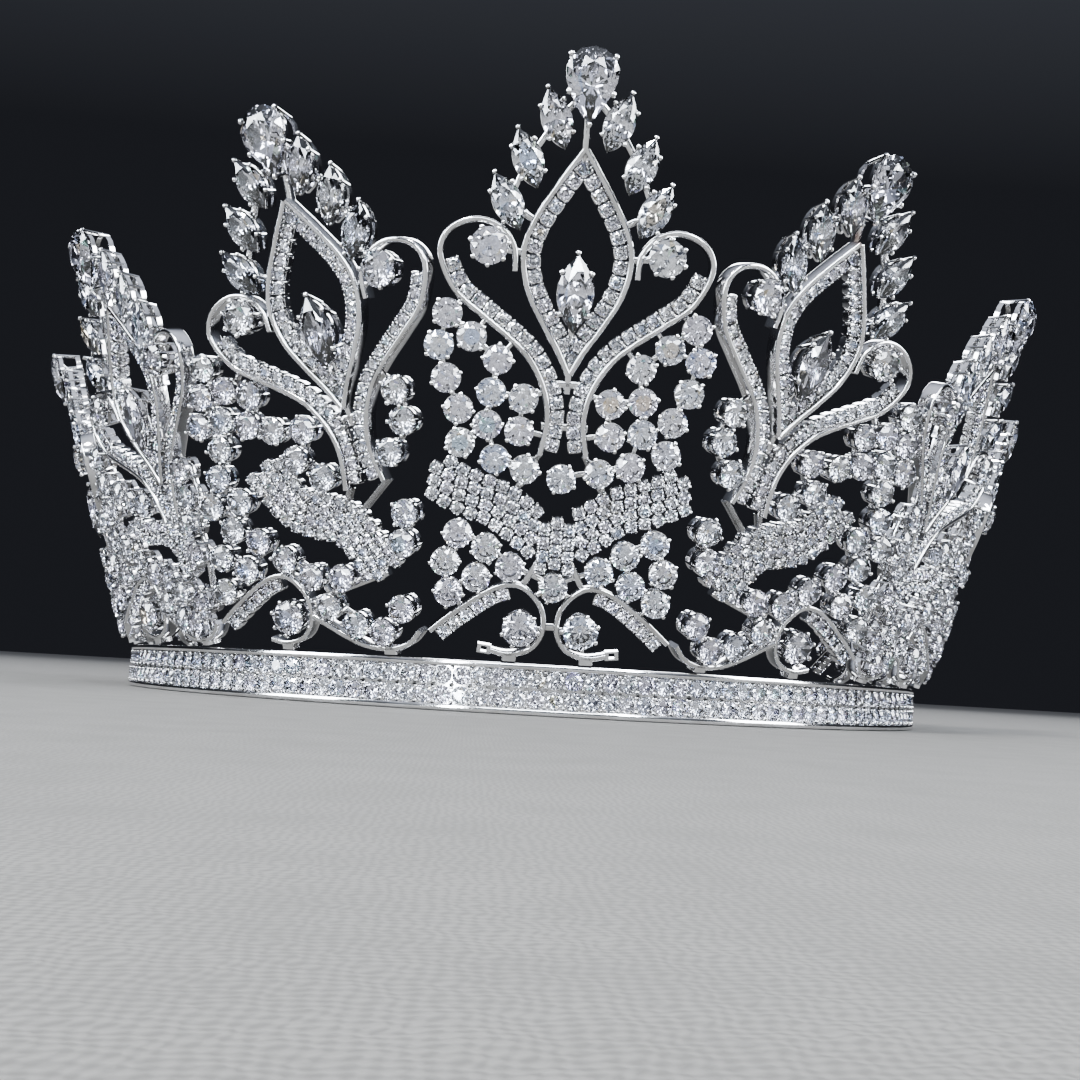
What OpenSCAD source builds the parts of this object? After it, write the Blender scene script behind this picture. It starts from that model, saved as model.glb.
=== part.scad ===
// Open-backed pageant crown: a stone-set hoop, seven flame panels that lean outward and
// two low end panels. Every panel is flat and faces its own way round the hoop.
// On a panel u runs across, v up the slope from the top of the hoop, w outward.

/* [Hoop] */
// Outer radius of the hoop
hoop_r = 75; // [65:0.5:90]
// Height of the hoop
hoop_h = 7.2; // [6:0.1:10]
// Depth of the hoop from its outside to its inside
hoop_depth = 2.4; // [1.8:0.1:3.5]
// Height of each polished rail of the hoop
hoop_rail = 0.9; // [0.6:0.1:1.5]
// Depth by which the stone bed lies behind the rails
bed_inset = 0.3; // [0.1:0.05:0.6]
// Angle from the front to the end of the stone rows
row_end = 117; // [110:1:125]
// Angle from the front to the end clips
clip_angle = 149; // [138:1:158]
// Thickness of the two bare end wires
wire_d = 1.4; // [1:0.1:2]
// Length of an end clip
clip_l = 6; // [4:0.5:9]
// Height of an end clip
clip_h = 3.2; // [2.8:0.1:5]
// Thickness of an end clip
clip_t = 1.2; // [0.8:0.1:2]
// Hole through an end clip
clip_hole = 1.5; // [1:0.1:2]

/* [Panels] */
// Angle between two neighbouring panels
pitch = 26; // [24:0.5:28]
// Outward lean of the panels
lean = 17.5; // [5:0.5:25]
// Height of the centre pear stone's middle above the hoop
centre_rise = 78.1; // [74:0.5:90]
// Drop of the first side pear below the centre one
drop_1 = 6.3; // [2:0.1:12]
// Drop of the second side pear below the centre one
drop_2 = 15.8; // [10:0.1:20]
// Drop of the third side pear below the centre one
drop_3 = 27; // [22:0.5:30]
// Half width of the flame and curl motif
motif_w = 18.2; // [16:0.1:19]
// Height of the motif from the pear stone down to the ends of its stems
motif_h = 48.7; // [45:0.5:54]
// Outward tilt of the motif on the side panels
motif_tilt = 12.5; // [8:0.5:14]
// Height of the lower scrolls above the hoop
scroll_h = 10.9; // [9:0.1:13]
// Height at which the pavé arms start above the hoop
arm_base = 16.6; // [14:0.2:20]
// Rise of a pavé arm from its base to its outer end
arm_rise = 10; // [7:0.5:13]

/* [Metal] */
// Thickness of a polished rail seen from the front
rail_w = 0.8; // [0.6:0.05:1]
// Depth of a polished rail
rail_d = 2.4; // [1.8:0.1:3]
// Width of a single line of pavé
strip_w = 2.1; // [1.6:0.1:2.3]
// Depth of the pavé lines and arms
strip_d = 1.9; // [1.2:0.1:2.6]
// Width of a pavé arm
arm_w = 6.8; // [5:0.1:7]
// Thickness of the cups under the stones
cup_d = 1.2; // [0.8:0.1:1.6]
// Width of the bars between the cups
bar_w = 0.9; // [0.7:0.1:1.4]
// Thickness of a prong
prong_d = 0.8; // [0.5:0.05:1]
// Clearance between separate pieces
gap = 0.15; // [0.1:0.01:0.25]

/* [Stones] */
// Length of a pear stone
pear_l = 9.5; // [8:0.1:10.5]
// Width of a pear stone
pear_w = 7; // [6:0.1:7.5]
// Length of a crest marquise
crest_l = 8; // [7:0.1:8.5]
// Width of a crest marquise
crest_w = 4; // [3.4:0.1:4.3]
// Length of the marquise inside a flame
heart_l = 10.4; // [9:0.1:11]
// Width of the marquise inside a flame
heart_w = 5; // [4.4:0.1:5.3]
// Diameter of the round stones in curls and scrolls
round_d = 5; // [4.4:0.1:5.3]
// Diameter of the scattered field stones
field_d = 4; // [3.6:0.1:4.3]
// Width of a stone's table as a share of its girdle
table_share = 0.58; // [0.5:0.01:0.65]
// Crown height as a share of a stone's width
crown_share = 0.16; // [0.12:0.01:0.2]
// Pavilion depth as a share of a stone's width
pavilion_share = 0.42; // [0.36:0.01:0.45]

/* [Hidden] */
// Panel names in order round the hoop, with their place counted from the centre
PANELS = [["centre", 0],
          ["left_1", -1], ["left_2", -2], ["left_3", -3], ["left_4", -4],
          ["right_1", 1], ["right_2", 2], ["right_3", 3], ["right_4", 4]];
FLAME_PANELS = [for (p = PANELS) if (abs(p[1]) < 4) p];
FIELD_PANELS = [for (p = PANELS) if (abs(p[1]) < 2) p];

steel = [0.80, 0.80, 0.82];
crystal = [0.86, 0.90, 0.97];

seat_r = hoop_r - hoop_depth / 2;
seat_z = hoop_h + gap + rail_d / 2 * sin(lean);
sector_w = seat_r * tan(pitch / 2);
drops = [0, drop_1, drop_2, drop_3];
// keeps the inner curl of a side panel clear of the panel before it
pear_shift = gap * 5;
// every stone's culet stands this far above the back of its panel
culet_z = cup_d + gap;

// Motif chart: shares of motif_w across and of motif_h down from the peak.
// It is the right half, mirrored for the left.
flame_chart = [[0.01, -0.17], [0.17, -0.26], [0.335, -0.365], [0.395, -0.45],
               [0.35, -0.545], [0.22, -0.635], [0.10, -0.705], [0.01, -0.77]];
curl_chart = [[0.45, -0.50], [0.47, -0.435], [0.58, -0.385], [0.76, -0.37], [0.94, -0.40], [1, -0.465],
              [0.88, -0.56], [0.675, -0.622], [0.46, -0.68], [0.30, -0.735], [0.18, -0.815],
              [0.137, -0.90], [0.175, -1]];
curl_stone = [0.65, -0.438];
heart_stone = [0, -0.55];
// the pear stone hangs just under the peak, on a side panel also a little nearer the front
pear_stone = [-0.05, -0.01];
// where the ties behind the motif end: under the pear, at the flame's foot and across the stems
flame_top = [0, -0.2];
flame_foot = [0, -0.82];
rung_w = 0.16;
rungs = [-0.80, -0.92];
// columns: across, down, outward lean in degrees
crest_chart = [[0.225, -0.098, 20], [0.41, -0.205, 22], [0.535, -0.32, 28]];

// Scroll chart: shares of sector_w across and of scroll_h up.
scroll_chart = [[0.48, 0.13], [0.32, 0.09], [0.14, 0.19], [0.058, 0.45], [0.094, 0.76],
                [0.27, 1], [0.49, 0.945], [0.76, 0.65], [0.985, 0.34]];
scroll_stone = [0.25, 0.46];
scroll_foot = 0.32;
foot_w = 1.2;
foot_top = 0.1;
// The far end of the scroll that comes over from the panel nearer the front.
cup_chart = [[-0.985, 0.33], [-0.87, 0.155], [-0.69, 0.075], [-0.47, 0.10], [-0.27, 0.22],
             [-0.10, 0.36], [0.04, 0.47]];
cup_foot = -0.69;

// Arm charts: shares of sector_w across and of arm_rise up from arm_base.
centre_arm = [[0.06, 0.02], [0.27, 0.3], [0.49, 0.55], [0.82, 0.75], [1.07, 0.98]];
side_arm = [[-0.68, -0.5], [-0.36, 0.2], [0.1, 0.42], [0.47, 1.1]];
// Field chart of the centre panel: shares of sector_w across and of centre_rise up, right half.
field_chart = [[0.986, 0.611], [0.786, 0.574], [1.039, 0.556], [0.569, 0.538], [0.968, 0.501],
               [0.605, 0.481], [0.346, 0.474], [0.857, 0.449], [0.364, 0.417], [0.622, 0.425],
               [0.828, 0.391], [0.546, 0.366], [0.299, 0.351], [0, 0.338], [0.364, 0.174],
               [0.569, 0.207], [0.804, 0.23], [0.634, 0.152], [0.892, 0.178], [0.851, 0.123],
               [0, 0.141]];
// the next lists count panels from the centre
arm_scale = [1, 1, 0.4];
arm_width = [arm_w, arm_w, arm_w * 0.62, 0, 0];
// lowest point of the stems, in scroll heights above the hoop
stem_floor = [1.3, 1.3, 1.75, 1.35];
// top of an end panel's field at its inner and outer edge, in scroll heights
end_field = [2.1, 1.3];
// points of a curve from one chart point to the next
curve_steps = 3;
// points at which the stone lines beside a stem and a scroll start
stem_start = 5 * curve_steps;
slope_start = 5 * curve_steps + 1;
// point of a scroll where the panel before it or the other scroll meets its loop
loop_start = 3 * curve_steps;
// share of the half widths of rail and line that lies between them, so that they overlap
strip_lap = 0.95;
// spacing of the places tried for a field stone, and the first row tried
field_step = 0.85;
first_row = 3;
// longest ties, in field stones
tie_reach = field_d * 2.4;
rim_reach = field_d * 0.95;

// Curves and distances.

function place(chart, w, h) = [for (q = chart) [q[0] * w, q[1] * h]];

function flip(pts) = [for (q = pts) [-q[0], q[1]]];

function turn(p, a) = [p[0] * cos(a) + p[1] * sin(a), p[1] * cos(a) - p[0] * sin(a)];

function turn_all(pts, a) = [for (q = pts) turn(q, a)];

function shift_all(pts, d) = [for (q = pts) q + d];

function spline_point(a, b, c, d, t) =
    0.5 * (2 * b + (c - a) * t + (2 * a - 5 * b + 4 * c - d) * t * t
           + (3 * b - a - 3 * c + d) * t * t * t);

function spline(pts, steps = curve_steps) =
    let (n = len(pts) - 1)
    concat([for (i = [0 : n - 1], k = [0 : steps - 1])
                spline_point(pts[max(i - 1, 0)], pts[i], pts[i + 1], pts[min(i + 2, n)], k / steps)],
           [pts[n]]);

function side_of(pts, i) =
    let (d = pts[min(i + 1, len(pts) - 1)] - pts[max(i - 1, 0)])
    [-d[1], d[0]] / norm(d);

function beside(pts, d) = [for (i = [0 : len(pts) - 1]) pts[i] + d * side_of(pts, i)];

function end_of(pts) = pts[len(pts) - 1];

function back_to_front(pts) = [for (i = [len(pts) - 1 : -1 : 0]) pts[i]];

function ribbon(pts, w) = concat(beside(pts, w / 2), back_to_front(beside(pts, -w / 2)));

function nearest_on(p, a, b) =
    let (d = b - a, t = max(0, min(1, (p - a) * d / (d * d))))
    a + t * d;

function distance_to(p, pts) =
    min([for (i = [0 : len(pts) - 2]) norm(p - nearest_on(p, pts[i], pts[i + 1]))]);

function crossings(p, poly, i) =
    let (a = poly[i], b = poly[(i + 1) % len(poly)])
    ((a[1] > p[1]) != (b[1] > p[1]) && p[0] < a[0] + (p[1] - a[1]) * (b[0] - a[0]) / (b[1] - a[1])) ? 1 : 0;

function total(list, i = 0) = i < len(list) ? list[i] + total(list, i + 1) : 0;

function inside(p, poly) = total([for (i = [0 : len(poly) - 1]) crossings(p, poly, i)]) % 2 == 1;

// Where the pieces of a panel lie; k counts panels from the centre, always outward.

function half_sector(v) = (seat_r + v * sin(lean)) * tan(pitch / 2);

function peak_at(k) = [k == 0 ? 0 : pear_shift, centre_rise - drops[k]];

function tilt(k) = k == 0 ? 0 : motif_tilt;

function on_motif(pts, k) = shift_all(turn_all(pts, tilt(k)), peak_at(k));

function motif(chart, k) = on_motif(place(chart, motif_w, motif_h), k);

function motif_left(chart, k) = on_motif(flip(place(chart, motif_w, motif_h)), k);

// the part of a stem that stays above the lower scrolls
function above(pts, v) = [for (q = pts) if (q[1] > v) q];

function stem(k, s) =
    let (pts = s > 0 ? motif(curl_chart, k) : motif_left(curl_chart, k))
    above(spline(pts), scroll_h * stem_floor[k]);

function flame(k, s) = spline(s > 0 ? motif(flame_chart, k) : motif_left(flame_chart, k));

function scroll(s) = spline(place(s > 0 ? scroll_chart : flip(scroll_chart), sector_w, scroll_h));

function far_scroll() = spline(place(cup_chart, sector_w, scroll_h));

function arm(k, s) =
    let (pts = [for (q = k == 0 ? centre_arm : side_arm)
                    [s * q[0] * sector_w, arm_base + q[1] * arm_rise * (q[1] > 0 ? arm_scale[k] : 1)]])
    spline(pts);

function curl_stone_at(k, s) = on_motif([[s * curl_stone[0] * motif_w, curl_stone[1] * motif_h]], k)[0];

function scroll_stone_at(s) = [s * scroll_stone[0] * sector_w, scroll_stone[1] * scroll_h];

function sides_of(k) = k == 0 ? [-1, 1] : [1];

function rails(k) = concat(
    k < 4 ? [for (s = [-1, 1]) flame(k, s)] : [],
    k < 4 ? [for (s = [-1, 1]) stem(k, s)] : [],
    [for (s = sides_of(k)) scroll(s)],
    k > 0 ? [far_scroll()] : []);

// pavé runs inside the flame, above each stem and below each scroll's slope
function strip_beside(pts, s) = beside(pts, -s * (rail_w + strip_w) / 2 * strip_lap);

function from_point(pts, first) = [for (i = [first : len(pts) - 1]) pts[i]];

function lower_stem(k, s) = from_point(stem(k, s), stem_start);

function strips(k) = concat(
    k < 4 ? [for (s = [-1, 1]) strip_beside(flame(k, s), s)] : [],
    k < 4 ? [for (s = [-1, 1]) strip_beside(lower_stem(k, s), s)] : [],
    [for (s = sides_of(k)) strip_beside(from_point(scroll(s), slope_start), s)]);

function arms(k) = k < 3 ? [for (s = sides_of(k)) arm(k, s)] : [];

// The field: round stones wherever they clear all other metal, first the charted ones, then row by row.

function top_corner(k, s) =
    let (v = (k < 4 ? lower_stem(k, s)[0][1] - field_d : scroll_h * end_field[s < 0 ? 0 : 1]))
    [s * half_sector(v), v];

function region(k) = concat(
    [top_corner(k, -1)],
    k < 4 ? lower_stem(k, -1) : [],
    k < 4 ? back_to_front(lower_stem(k, 1)) : [],
    [top_corner(k, 1)],
    back_to_front(from_point(scroll(1), loop_start)),
    k == 0 ? from_point(scroll(-1), loop_start) : back_to_front(far_scroll()));

// a neighbour's path as it lies over this panel: step 1 is the panel further out, -1 the one before
function across(pts, step) =
    [for (q = pts)
        let (h = half_sector(q[1]))
        [step * (h + (h + step * q[0]) * cos(pitch)), q[1]]];

// what neighbours reach over the border, as [path, half width]
function reaching_over(k) = concat(
    k < 3 ? [[across(stem(k + 1, -1), 1), rail_w / 2],
             [across(strip_beside(lower_stem(k + 1, -1), -1), 1), strip_w / 2]] : [],
    k > 0 ? [for (a = arms(k - 1)) [across(a, -1), arm_width[k - 1] / 2]] : []);

function misses(p, lines, room) = min(concat([room + 1], [for (r = lines) distance_to(p, r)])) > room;

function clears(p, points, room) = len([for (q = points) if (norm(p - q) < room) q]) == 0;

function tries(k) =
    let (columns = ceil(half_sector(centre_rise) / field_step))
    concat(k == 0 ? place(field_chart, sector_w, centre_rise) : [],
           [for (j = [first_row : ceil(centre_rise / field_step)], i = [k == 0 ? 0 : -columns : columns])
               field_step * [i, j]]);

function candidates(k) =
    let (border = region(k), r = rails(k), s = strips(k), a = arms(k), room = field_d / 2 + gap,
         over = reaching_over(k), rounds = [for (side = sides_of(k)) scroll_stone_at(side)])
    [for (p = tries(k))
        if (abs(p[0]) < half_sector(p[1]) - room - gap
            && (k > 0 || p[0] == 0 || p[0] > room)
            && inside(p, border)
            && misses(p, r, room + rail_w / 2)
            && misses(p, s, room + strip_w / 2)
            && misses(p, a, room + arm_width[k] / 2)
            && len([for (o = over) if (!misses(p, [o[0]], room + o[1])) o]) == 0
            && clears(p, rounds, room + round_d / 2))
            p];

function pack(found, kept = [], i = 0) =
    i == len(found) ? kept
    : pack(found, clears(found[i], kept, field_d + 2 * gap) ? concat(kept, [found[i]]) : kept, i + 1);

function field_sites(k) =
    let (kept = pack(candidates(k)))
    concat(kept, k == 0 ? flip([for (q = kept) if (q[0] > 0) q]) : []);

// Plain shapes on a panel.

module on_panel(p) {
    rotate([0, 0, pitch * p[1]])
        translate([0, -seat_r, seat_z])
            rotate([90 + lean, 0, 0])
                translate([0, 0, -rail_d / 2])
                    mirror([p[1] < 0 ? 1 : 0, 0, 0])
                        children();
}

module bar(a, b, w = bar_w) {
    d = w / 2 * (b - a) / norm(b - a);
    n = [-d[1], d[0]];
    polygon([a - d + n, a - d - n, b + d - n, b + d + n]);
}

// Joins overlapping outlines into one
module joined() {
    offset(delta = 0.001) children();
}

module rails_2d(k) {
    for (r = rails(k)) polygon(ribbon(r, rail_w));
}

module strips_2d(k) {
    for (r = strips(k)) polygon(ribbon(r, strip_w));
    for (r = arms(k)) polygon(ribbon(r, arm_width[k]));
}

// Stones: outlines, cut and setting.

function round_outline(d, n = 8) =
    [for (i = [0 : n - 1]) d / 2 * [cos((i + 0.5) * 360 / n), sin((i + 0.5) * 360 / n)]];

function pear_shape() = pear_outline(pear_l, pear_w);

function crest_shape() = marquise_outline(crest_l, crest_w);

function heart_shape() = marquise_outline(heart_l, heart_w);

function heart_at(k) = motif([heart_stone], k)[0];

function pear_at(k) = motif([[k == 0 ? 0 : pear_stone[0], pear_stone[1]]], k)[0];

function marquise_outline(l, w) =
    let (half = [for (t = [-1, -0.55, 0, 0.55]) [w / 2 * (1 - t * t), t * l / 2]])
    concat(half, [for (q = half) -q]);

// point down, widest a little above its middle
function pear_outline(l, w) =
    let (side = [[0, -0.5], [0.24, -0.26], [0.44, 0], [0.49, 0.2], [0.33, 0.41]])
    concat([for (q = side) [q[0] * w, q[1] * l]],
           [[0, l / 2]],
           [for (i = [len(side) - 1 : -1 : 1]) [-side[i][0] * w, side[i][1] * l]]);

// One cut stone as [points, faces]: table, crown facets and pavilion facets
function gem(outline, w, at = [0, 0], turned = 0) =
    let (n = len(outline),
         g = turn_all(outline, turned),
         girdle = culet_z + pavilion_share * w,
         table = girdle + crown_share * w)
    [concat([for (q = g) [at[0] + q[0], at[1] + q[1], girdle]],
            [for (q = g) [at[0] + q[0] * table_share, at[1] + q[1] * table_share, table]],
            [[at[0], at[1], culet_z]]),
     concat([[for (i = [n - 1 : -1 : 0]) n + i]],
            [for (i = [0 : n - 1]) [i, n + i, n + (i + 1) % n, (i + 1) % n]],
            [for (i = [0 : n - 1]) [2 * n, i, (i + 1) % n]])];

function point_count(gems, i = 0) = i == 0 ? 0 : len(gems[i - 1][0]) + point_count(gems, i - 1);

module cut_stones(gems) {
    color(crystal)
        polyhedron(points = [for (g = gems) each g[0]],
                   faces = [for (i = [0 : len(gems) - 1])
                                let (first = point_count(gems, i))
                                each [for (f = gems[i][1]) [for (v = f) v + first]]]);
}

function crest_at(k, s) = motif([for (q = crest_chart) [s * q[0], q[1]]], k);

function crest_lean(i, k, s) = s * crest_chart[i][2] + tilt(k);

module seat_2d(outline, at, turned = 0) {
    translate(at)
        rotate(-turned)
            offset(delta = 2 * gap) polygon(outline);
}

// posts just outside the girdle at the given points of the outline
module prongs(outline, w, at, turned, picks) {
    linear_extrude(culet_z + pavilion_share * w + prong_d / 2)
        for (i = picks) {
            q = outline[i];
            out = (gap + prong_d / 2) * q / norm(q);
            translate(at + turn(q + out, turned)) circle(d = prong_d, $fn = 6);
        }
}

module main_seats_2d(k) {
    if (k < 4) {
        seat_2d(pear_shape(), pear_at(k), tilt(k));
        seat_2d(heart_shape(), heart_at(k), tilt(k));
        for (s = [-1, 1]) {
            seat_2d(round_outline(round_d), curl_stone_at(k, s));
            for (i = [0 : 2]) seat_2d(crest_shape(), crest_at(k, s)[i], crest_lean(i, k, s));
        }
    }
    for (s = sides_of(k)) seat_2d(round_outline(round_d), scroll_stone_at(s));
}

module main_prongs(k) {
    if (k < 4) {
        prongs(pear_shape(), pear_w, pear_at(k), tilt(k), k == 0 ? [1, 4, 6, 9] : [0, 4, 6]);
        prongs(heart_shape(), heart_w, heart_at(k), tilt(k), [0, 2, 4, 6]);
        for (s = [-1, 1]) {
            prongs(round_outline(round_d), round_d, curl_stone_at(k, s), 0, [0, 2, 4, 6]);
            for (i = [0 : 2])
                prongs(crest_shape(), crest_w, crest_at(k, s)[i], crest_lean(i, k, s), [0, 4]);
        }
    }
    for (s = sides_of(k)) prongs(round_outline(round_d), round_d, scroll_stone_at(s), 0, [1, 4, 7]);
}

// Bars behind the stones that tie the open work together.

function nearest_point(p, pts) =
    let (near = [for (i = [0 : len(pts) - 2]) nearest_on(p, pts[i], pts[i + 1])],
         far = [for (q = near) norm(p - q)])
    near[search(min(far), far)[0]];

function nearest_of(p, lines) =
    let (near = [for (r = lines) nearest_point(p, r)],
         far = [for (q = near) norm(p - q)])
    near[search(min(far), far)[0]];

function reach(p, i, sites) = min([for (j = [0 : i - 1]) norm(p - sites[j])]);

// every field cup is tied to an earlier one near it, or else to the nearest rail or arm
module field_bars_2d(sites, k) {
    lines = concat(rails(k), arms(k));
    for (i = [0 : len(sites) - 1]) {
        p = sites[i];
        near = i == 0 ? 2 * field_d : reach(p, i, sites);
        if (near < 2 * field_d) {
            for (j = [0 : i - 1])
                if (norm(p - sites[j]) == near) bar(p, sites[j]);
        } else bar(p, nearest_of(p, lines));
        for (r = lines) {
            q = nearest_point(p, r);
            if (norm(p - q) < rim_reach) bar(p, q);
        }
    }
}

module ties_2d(k) {
    if (k < 4) {
        for (s = [-1, 1]) {
            crest = crest_at(k, s);
            bar(pear_at(k), crest[0]);
            bar(crest[0], crest[1]);
            bar(crest[1], crest[2]);
            bar(crest[2], nearest_point(crest[2], flame(k, s)));
            bar(curl_stone_at(k, s), nearest_point(curl_stone_at(k, s), flame(k, s)));
        }
        bar(pear_at(k), motif([flame_top], k)[0]);
        bar(heart_at(k), motif([flame_foot], k)[0]);
        for (share = rungs) bar(motif([[-rung_w, share]], k)[0], motif([[rung_w, share]], k)[0]);
    }
    for (s = sides_of(k)) bar(scroll_stone_at(s), nearest_point(scroll_stone_at(s), scroll(s)));
    for (a = arms(k), r = rails(k)) {
        tip = end_of(r);
        near = nearest_point(tip, a);
        if (norm(tip - near) > gap && norm(tip - near) < tie_reach) bar(tip, near);
    }
    if (k < 3)
        for (s = [-1, 1]) {
            tip = end_of(stem(k, s));
            bar(tip, nearest_point(tip, arm(k, k == 0 ? s : 1)));
        }
    if (k < 3)
        for (s = sides_of(k)) {
            base = arm(k, s)[0];
            bar(base, nearest_point(base, scroll(s)));
        }
    if (k == 0) bar(scroll(-1)[loop_start], scroll(1)[loop_start]);
}

module feet_2d(k) {
    feet = concat([for (s = sides_of(k)) s * scroll_foot], k > 0 ? [cup_foot] : []);
    for (x = feet) bar([x * sector_w, foot_w / 2], [x * sector_w, scroll_h * foot_top], foot_w);
}

module panel(p) {
    k = abs(p[1]);
    sites = field_sites(k);
    color(steel)
        on_panel(p) {
            linear_extrude(rail_d)
                joined() {
                    rails_2d(k);
                    feet_2d(k);
                }
            linear_extrude(strip_d) joined() strips_2d(k);
            linear_extrude(cup_d)
                joined() {
                    main_seats_2d(k);
                    for (q = sites) translate(q) circle(d = field_d + 2 * gap, $fn = 16);
                    field_bars_2d(sites, k);
                    ties_2d(k);
                }
            main_prongs(k);
        }
}

module pear(p) {
    k = abs(p[1]);
    on_panel(p) cut_stones([gem(pear_shape(), pear_w, pear_at(k), tilt(k))]);
}

module crest(p) {
    k = abs(p[1]);
    on_panel(p)
        cut_stones([for (s = [-1, 1], i = [0 : 2])
                        gem(crest_shape(), crest_w, crest_at(k, s)[i], crest_lean(i, k, s))]);
}

module heart(p) {
    k = abs(p[1]);
    on_panel(p) cut_stones([gem(heart_shape(), heart_w, heart_at(k), tilt(k))]);
}

module curl_stones(p) {
    k = abs(p[1]);
    on_panel(p) cut_stones([for (s = [-1, 1]) gem(round_outline(round_d), round_d, curl_stone_at(k, s))]);
}

module scroll_stones(p) {
    k = abs(p[1]);
    on_panel(p) cut_stones([for (s = sides_of(k)) gem(round_outline(round_d), round_d, scroll_stone_at(s))]);
}

module field(p) {
    on_panel(p) cut_stones([for (q = field_sites(abs(p[1]))) gem(round_outline(field_d), field_d, q)]);
}

// The hoop.

module arc(from, to) {
    rotate([0, 0, from - 90]) rotate_extrude(angle = to - from, $fn = 96) children();
}

module hoop_section(low, high, inset) {
    translate([hoop_r - hoop_depth + inset, low]) square([hoop_depth - 2 * inset, high - low]);
}

module wire_section(z) {
    translate([seat_r, z]) circle(d = wire_d, $fn = 24);
}

module end_wires(s) {
    apart = wire_d * 1.1;
    drop = atan((hoop_h - wire_d - apart) / (seat_r * sin(clip_angle - row_end)));
    mirror([s < 0 ? 1 : 0, 0, 0]) {
        arc(row_end - 1, clip_angle) wire_section(wire_d / 2);
        translate([0, 0, hoop_h - wire_d / 2])
            rotate(a = -drop, v = [sin(row_end), -cos(row_end), 0])
                arc(row_end - 1, clip_angle) wire_section(0);
    }
}

module end_clip(s) {
    mirror([s < 0 ? 1 : 0, 0, 0])
        rotate([0, 0, clip_angle])
            translate([0, -seat_r - clip_t / 2, clip_h / 2])
                rotate([-90, 0, 0])
                    difference() {
                        union() {
                            translate([-clip_l / 4, -clip_h / 2, 0]) cube([clip_l * 0.75, clip_h, clip_t]);
                            translate([clip_l / 2, 0, 0]) cylinder(d = clip_h, h = clip_t, $fn = 48);
                        }
                        translate([clip_l / 2, 0, -1]) cylinder(d = clip_hole, h = clip_t + 2, $fn = 48);
                    }
}

module hoop() {
    color(steel) {
        arc(-row_end, row_end) hoop_section(0, hoop_rail, 0);
        arc(-row_end, row_end) hoop_section(hoop_h - hoop_rail, hoop_h, 0);
        arc(-row_end, row_end) hoop_section(hoop_rail / 2, hoop_h - hoop_rail / 2, bed_inset);
        for (s = [-1, 1]) {
            end_wires(s);
            end_clip(s);
        }
    }
}

hoop();
for (p = PANELS) {
    panel(p);
    scroll_stones(p);
}
for (p = FLAME_PANELS) {
    pear(p);
    crest(p);
    heart(p);
    curl_stones(p);
}
for (p = FIELD_PANELS)
    field(p);
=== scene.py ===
"""Looks of an open-backed pageant crown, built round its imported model.

Sizes are in millimetres and repeat the part's own values. On a panel u runs across, v up the slope
from the top of the hoop and w outward. The right half is drawn, and the left half mirrors it.
"""

import math

import bpy
import numpy as np
from mathutils import Matrix, Vector


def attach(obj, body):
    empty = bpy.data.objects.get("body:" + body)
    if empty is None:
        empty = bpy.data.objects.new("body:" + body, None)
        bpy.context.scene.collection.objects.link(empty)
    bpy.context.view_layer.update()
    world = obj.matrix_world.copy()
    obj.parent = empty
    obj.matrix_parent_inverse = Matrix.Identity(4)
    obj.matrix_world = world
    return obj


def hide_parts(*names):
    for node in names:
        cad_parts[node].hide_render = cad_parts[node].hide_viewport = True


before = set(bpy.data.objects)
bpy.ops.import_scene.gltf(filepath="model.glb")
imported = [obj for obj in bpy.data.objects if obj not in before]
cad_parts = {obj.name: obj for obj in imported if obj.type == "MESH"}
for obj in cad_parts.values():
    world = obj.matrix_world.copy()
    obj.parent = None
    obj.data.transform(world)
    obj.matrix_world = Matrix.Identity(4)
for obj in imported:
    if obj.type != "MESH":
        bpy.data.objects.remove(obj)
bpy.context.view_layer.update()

# Hoop and end clips
HOOP_R, HOOP_H, HOOP_DEPTH, HOOP_RAIL, BED_INSET = 75, 7.2, 2.4, 0.9, 0.3
ROW_END, CLIP_ANGLE, WIRE_D = 117, 149, 1.4
CLIP_L, CLIP_H, CLIP_T, CLIP_HOLE = 6, 3.2, 1.2, 1.5

# Panels
PITCH, LEAN, CENTRE_RISE = 26, 17.5, 78.1
DROPS = [0, 6.3, 15.8, 27]
MOTIF_W, MOTIF_H, MOTIF_TILT = 18.2, 48.7, 12.5
SCROLL_H, ARM_BASE, ARM_RISE = 10.9, 16.6, 10
GAP = 0.15

# Metal
RAIL_W, RAIL_D, STRIP_W, STRIP_D, ARM_W = 0.8, 2.4, 2.1, 1.9, 6.8
CUP_D, BAR_W, THIN_BAR_W, THIN_BAR_D = 1.2, 0.9, 0.7, 1.0
RAIL_EDGE, BAR_EDGE = 0.26, 0.22

# Stones
PEAR_L, PEAR_W, CREST_L, CREST_W, HEART_L, HEART_W = 9.5, 7, 8, 4, 10.4, 5
ROUND_D, FIELD_D, SMALL_D, HOOP_STONE_D = 5, 4, 1.75, 2.62
SMALL_PITCH, HOOP_PITCH = 1.97, 2.68
TABLE_SHARE, CROWN_SHARE, PAVILION_SHARE = 0.58, 0.16, 0.42
PEAR_PRONGS, MARQUISE_PRONGS = (0, 3, 6, 10, 13), (2, 6, 8, 10, 14)
STONE_KINDS = ("pear", "crest", "heart", "curl_stones", "scroll_stones", "field", "fine")

# How far a set stone may lean, as a slope
SET_LEAN, FIELD_LEAN, SMALL_LEAN = 0.03, 0.05, 0.07

SEAT_R = HOOP_R - HOOP_DEPTH / 2
SEAT_Z = HOOP_H + GAP + RAIL_D / 2 * math.sin(math.radians(LEAN))
SECTOR_W = SEAT_R * math.tan(math.radians(PITCH / 2))
PEAR_SHIFT = GAP * 5
CULET_W = CUP_D + GAP

PANELS = {"centre": 0}
PANELS.update({f"left_{k}": -k for k in (1, 2, 3, 4)})
PANELS.update({f"right_{k}": k for k in (1, 2, 3, 4)})

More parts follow.
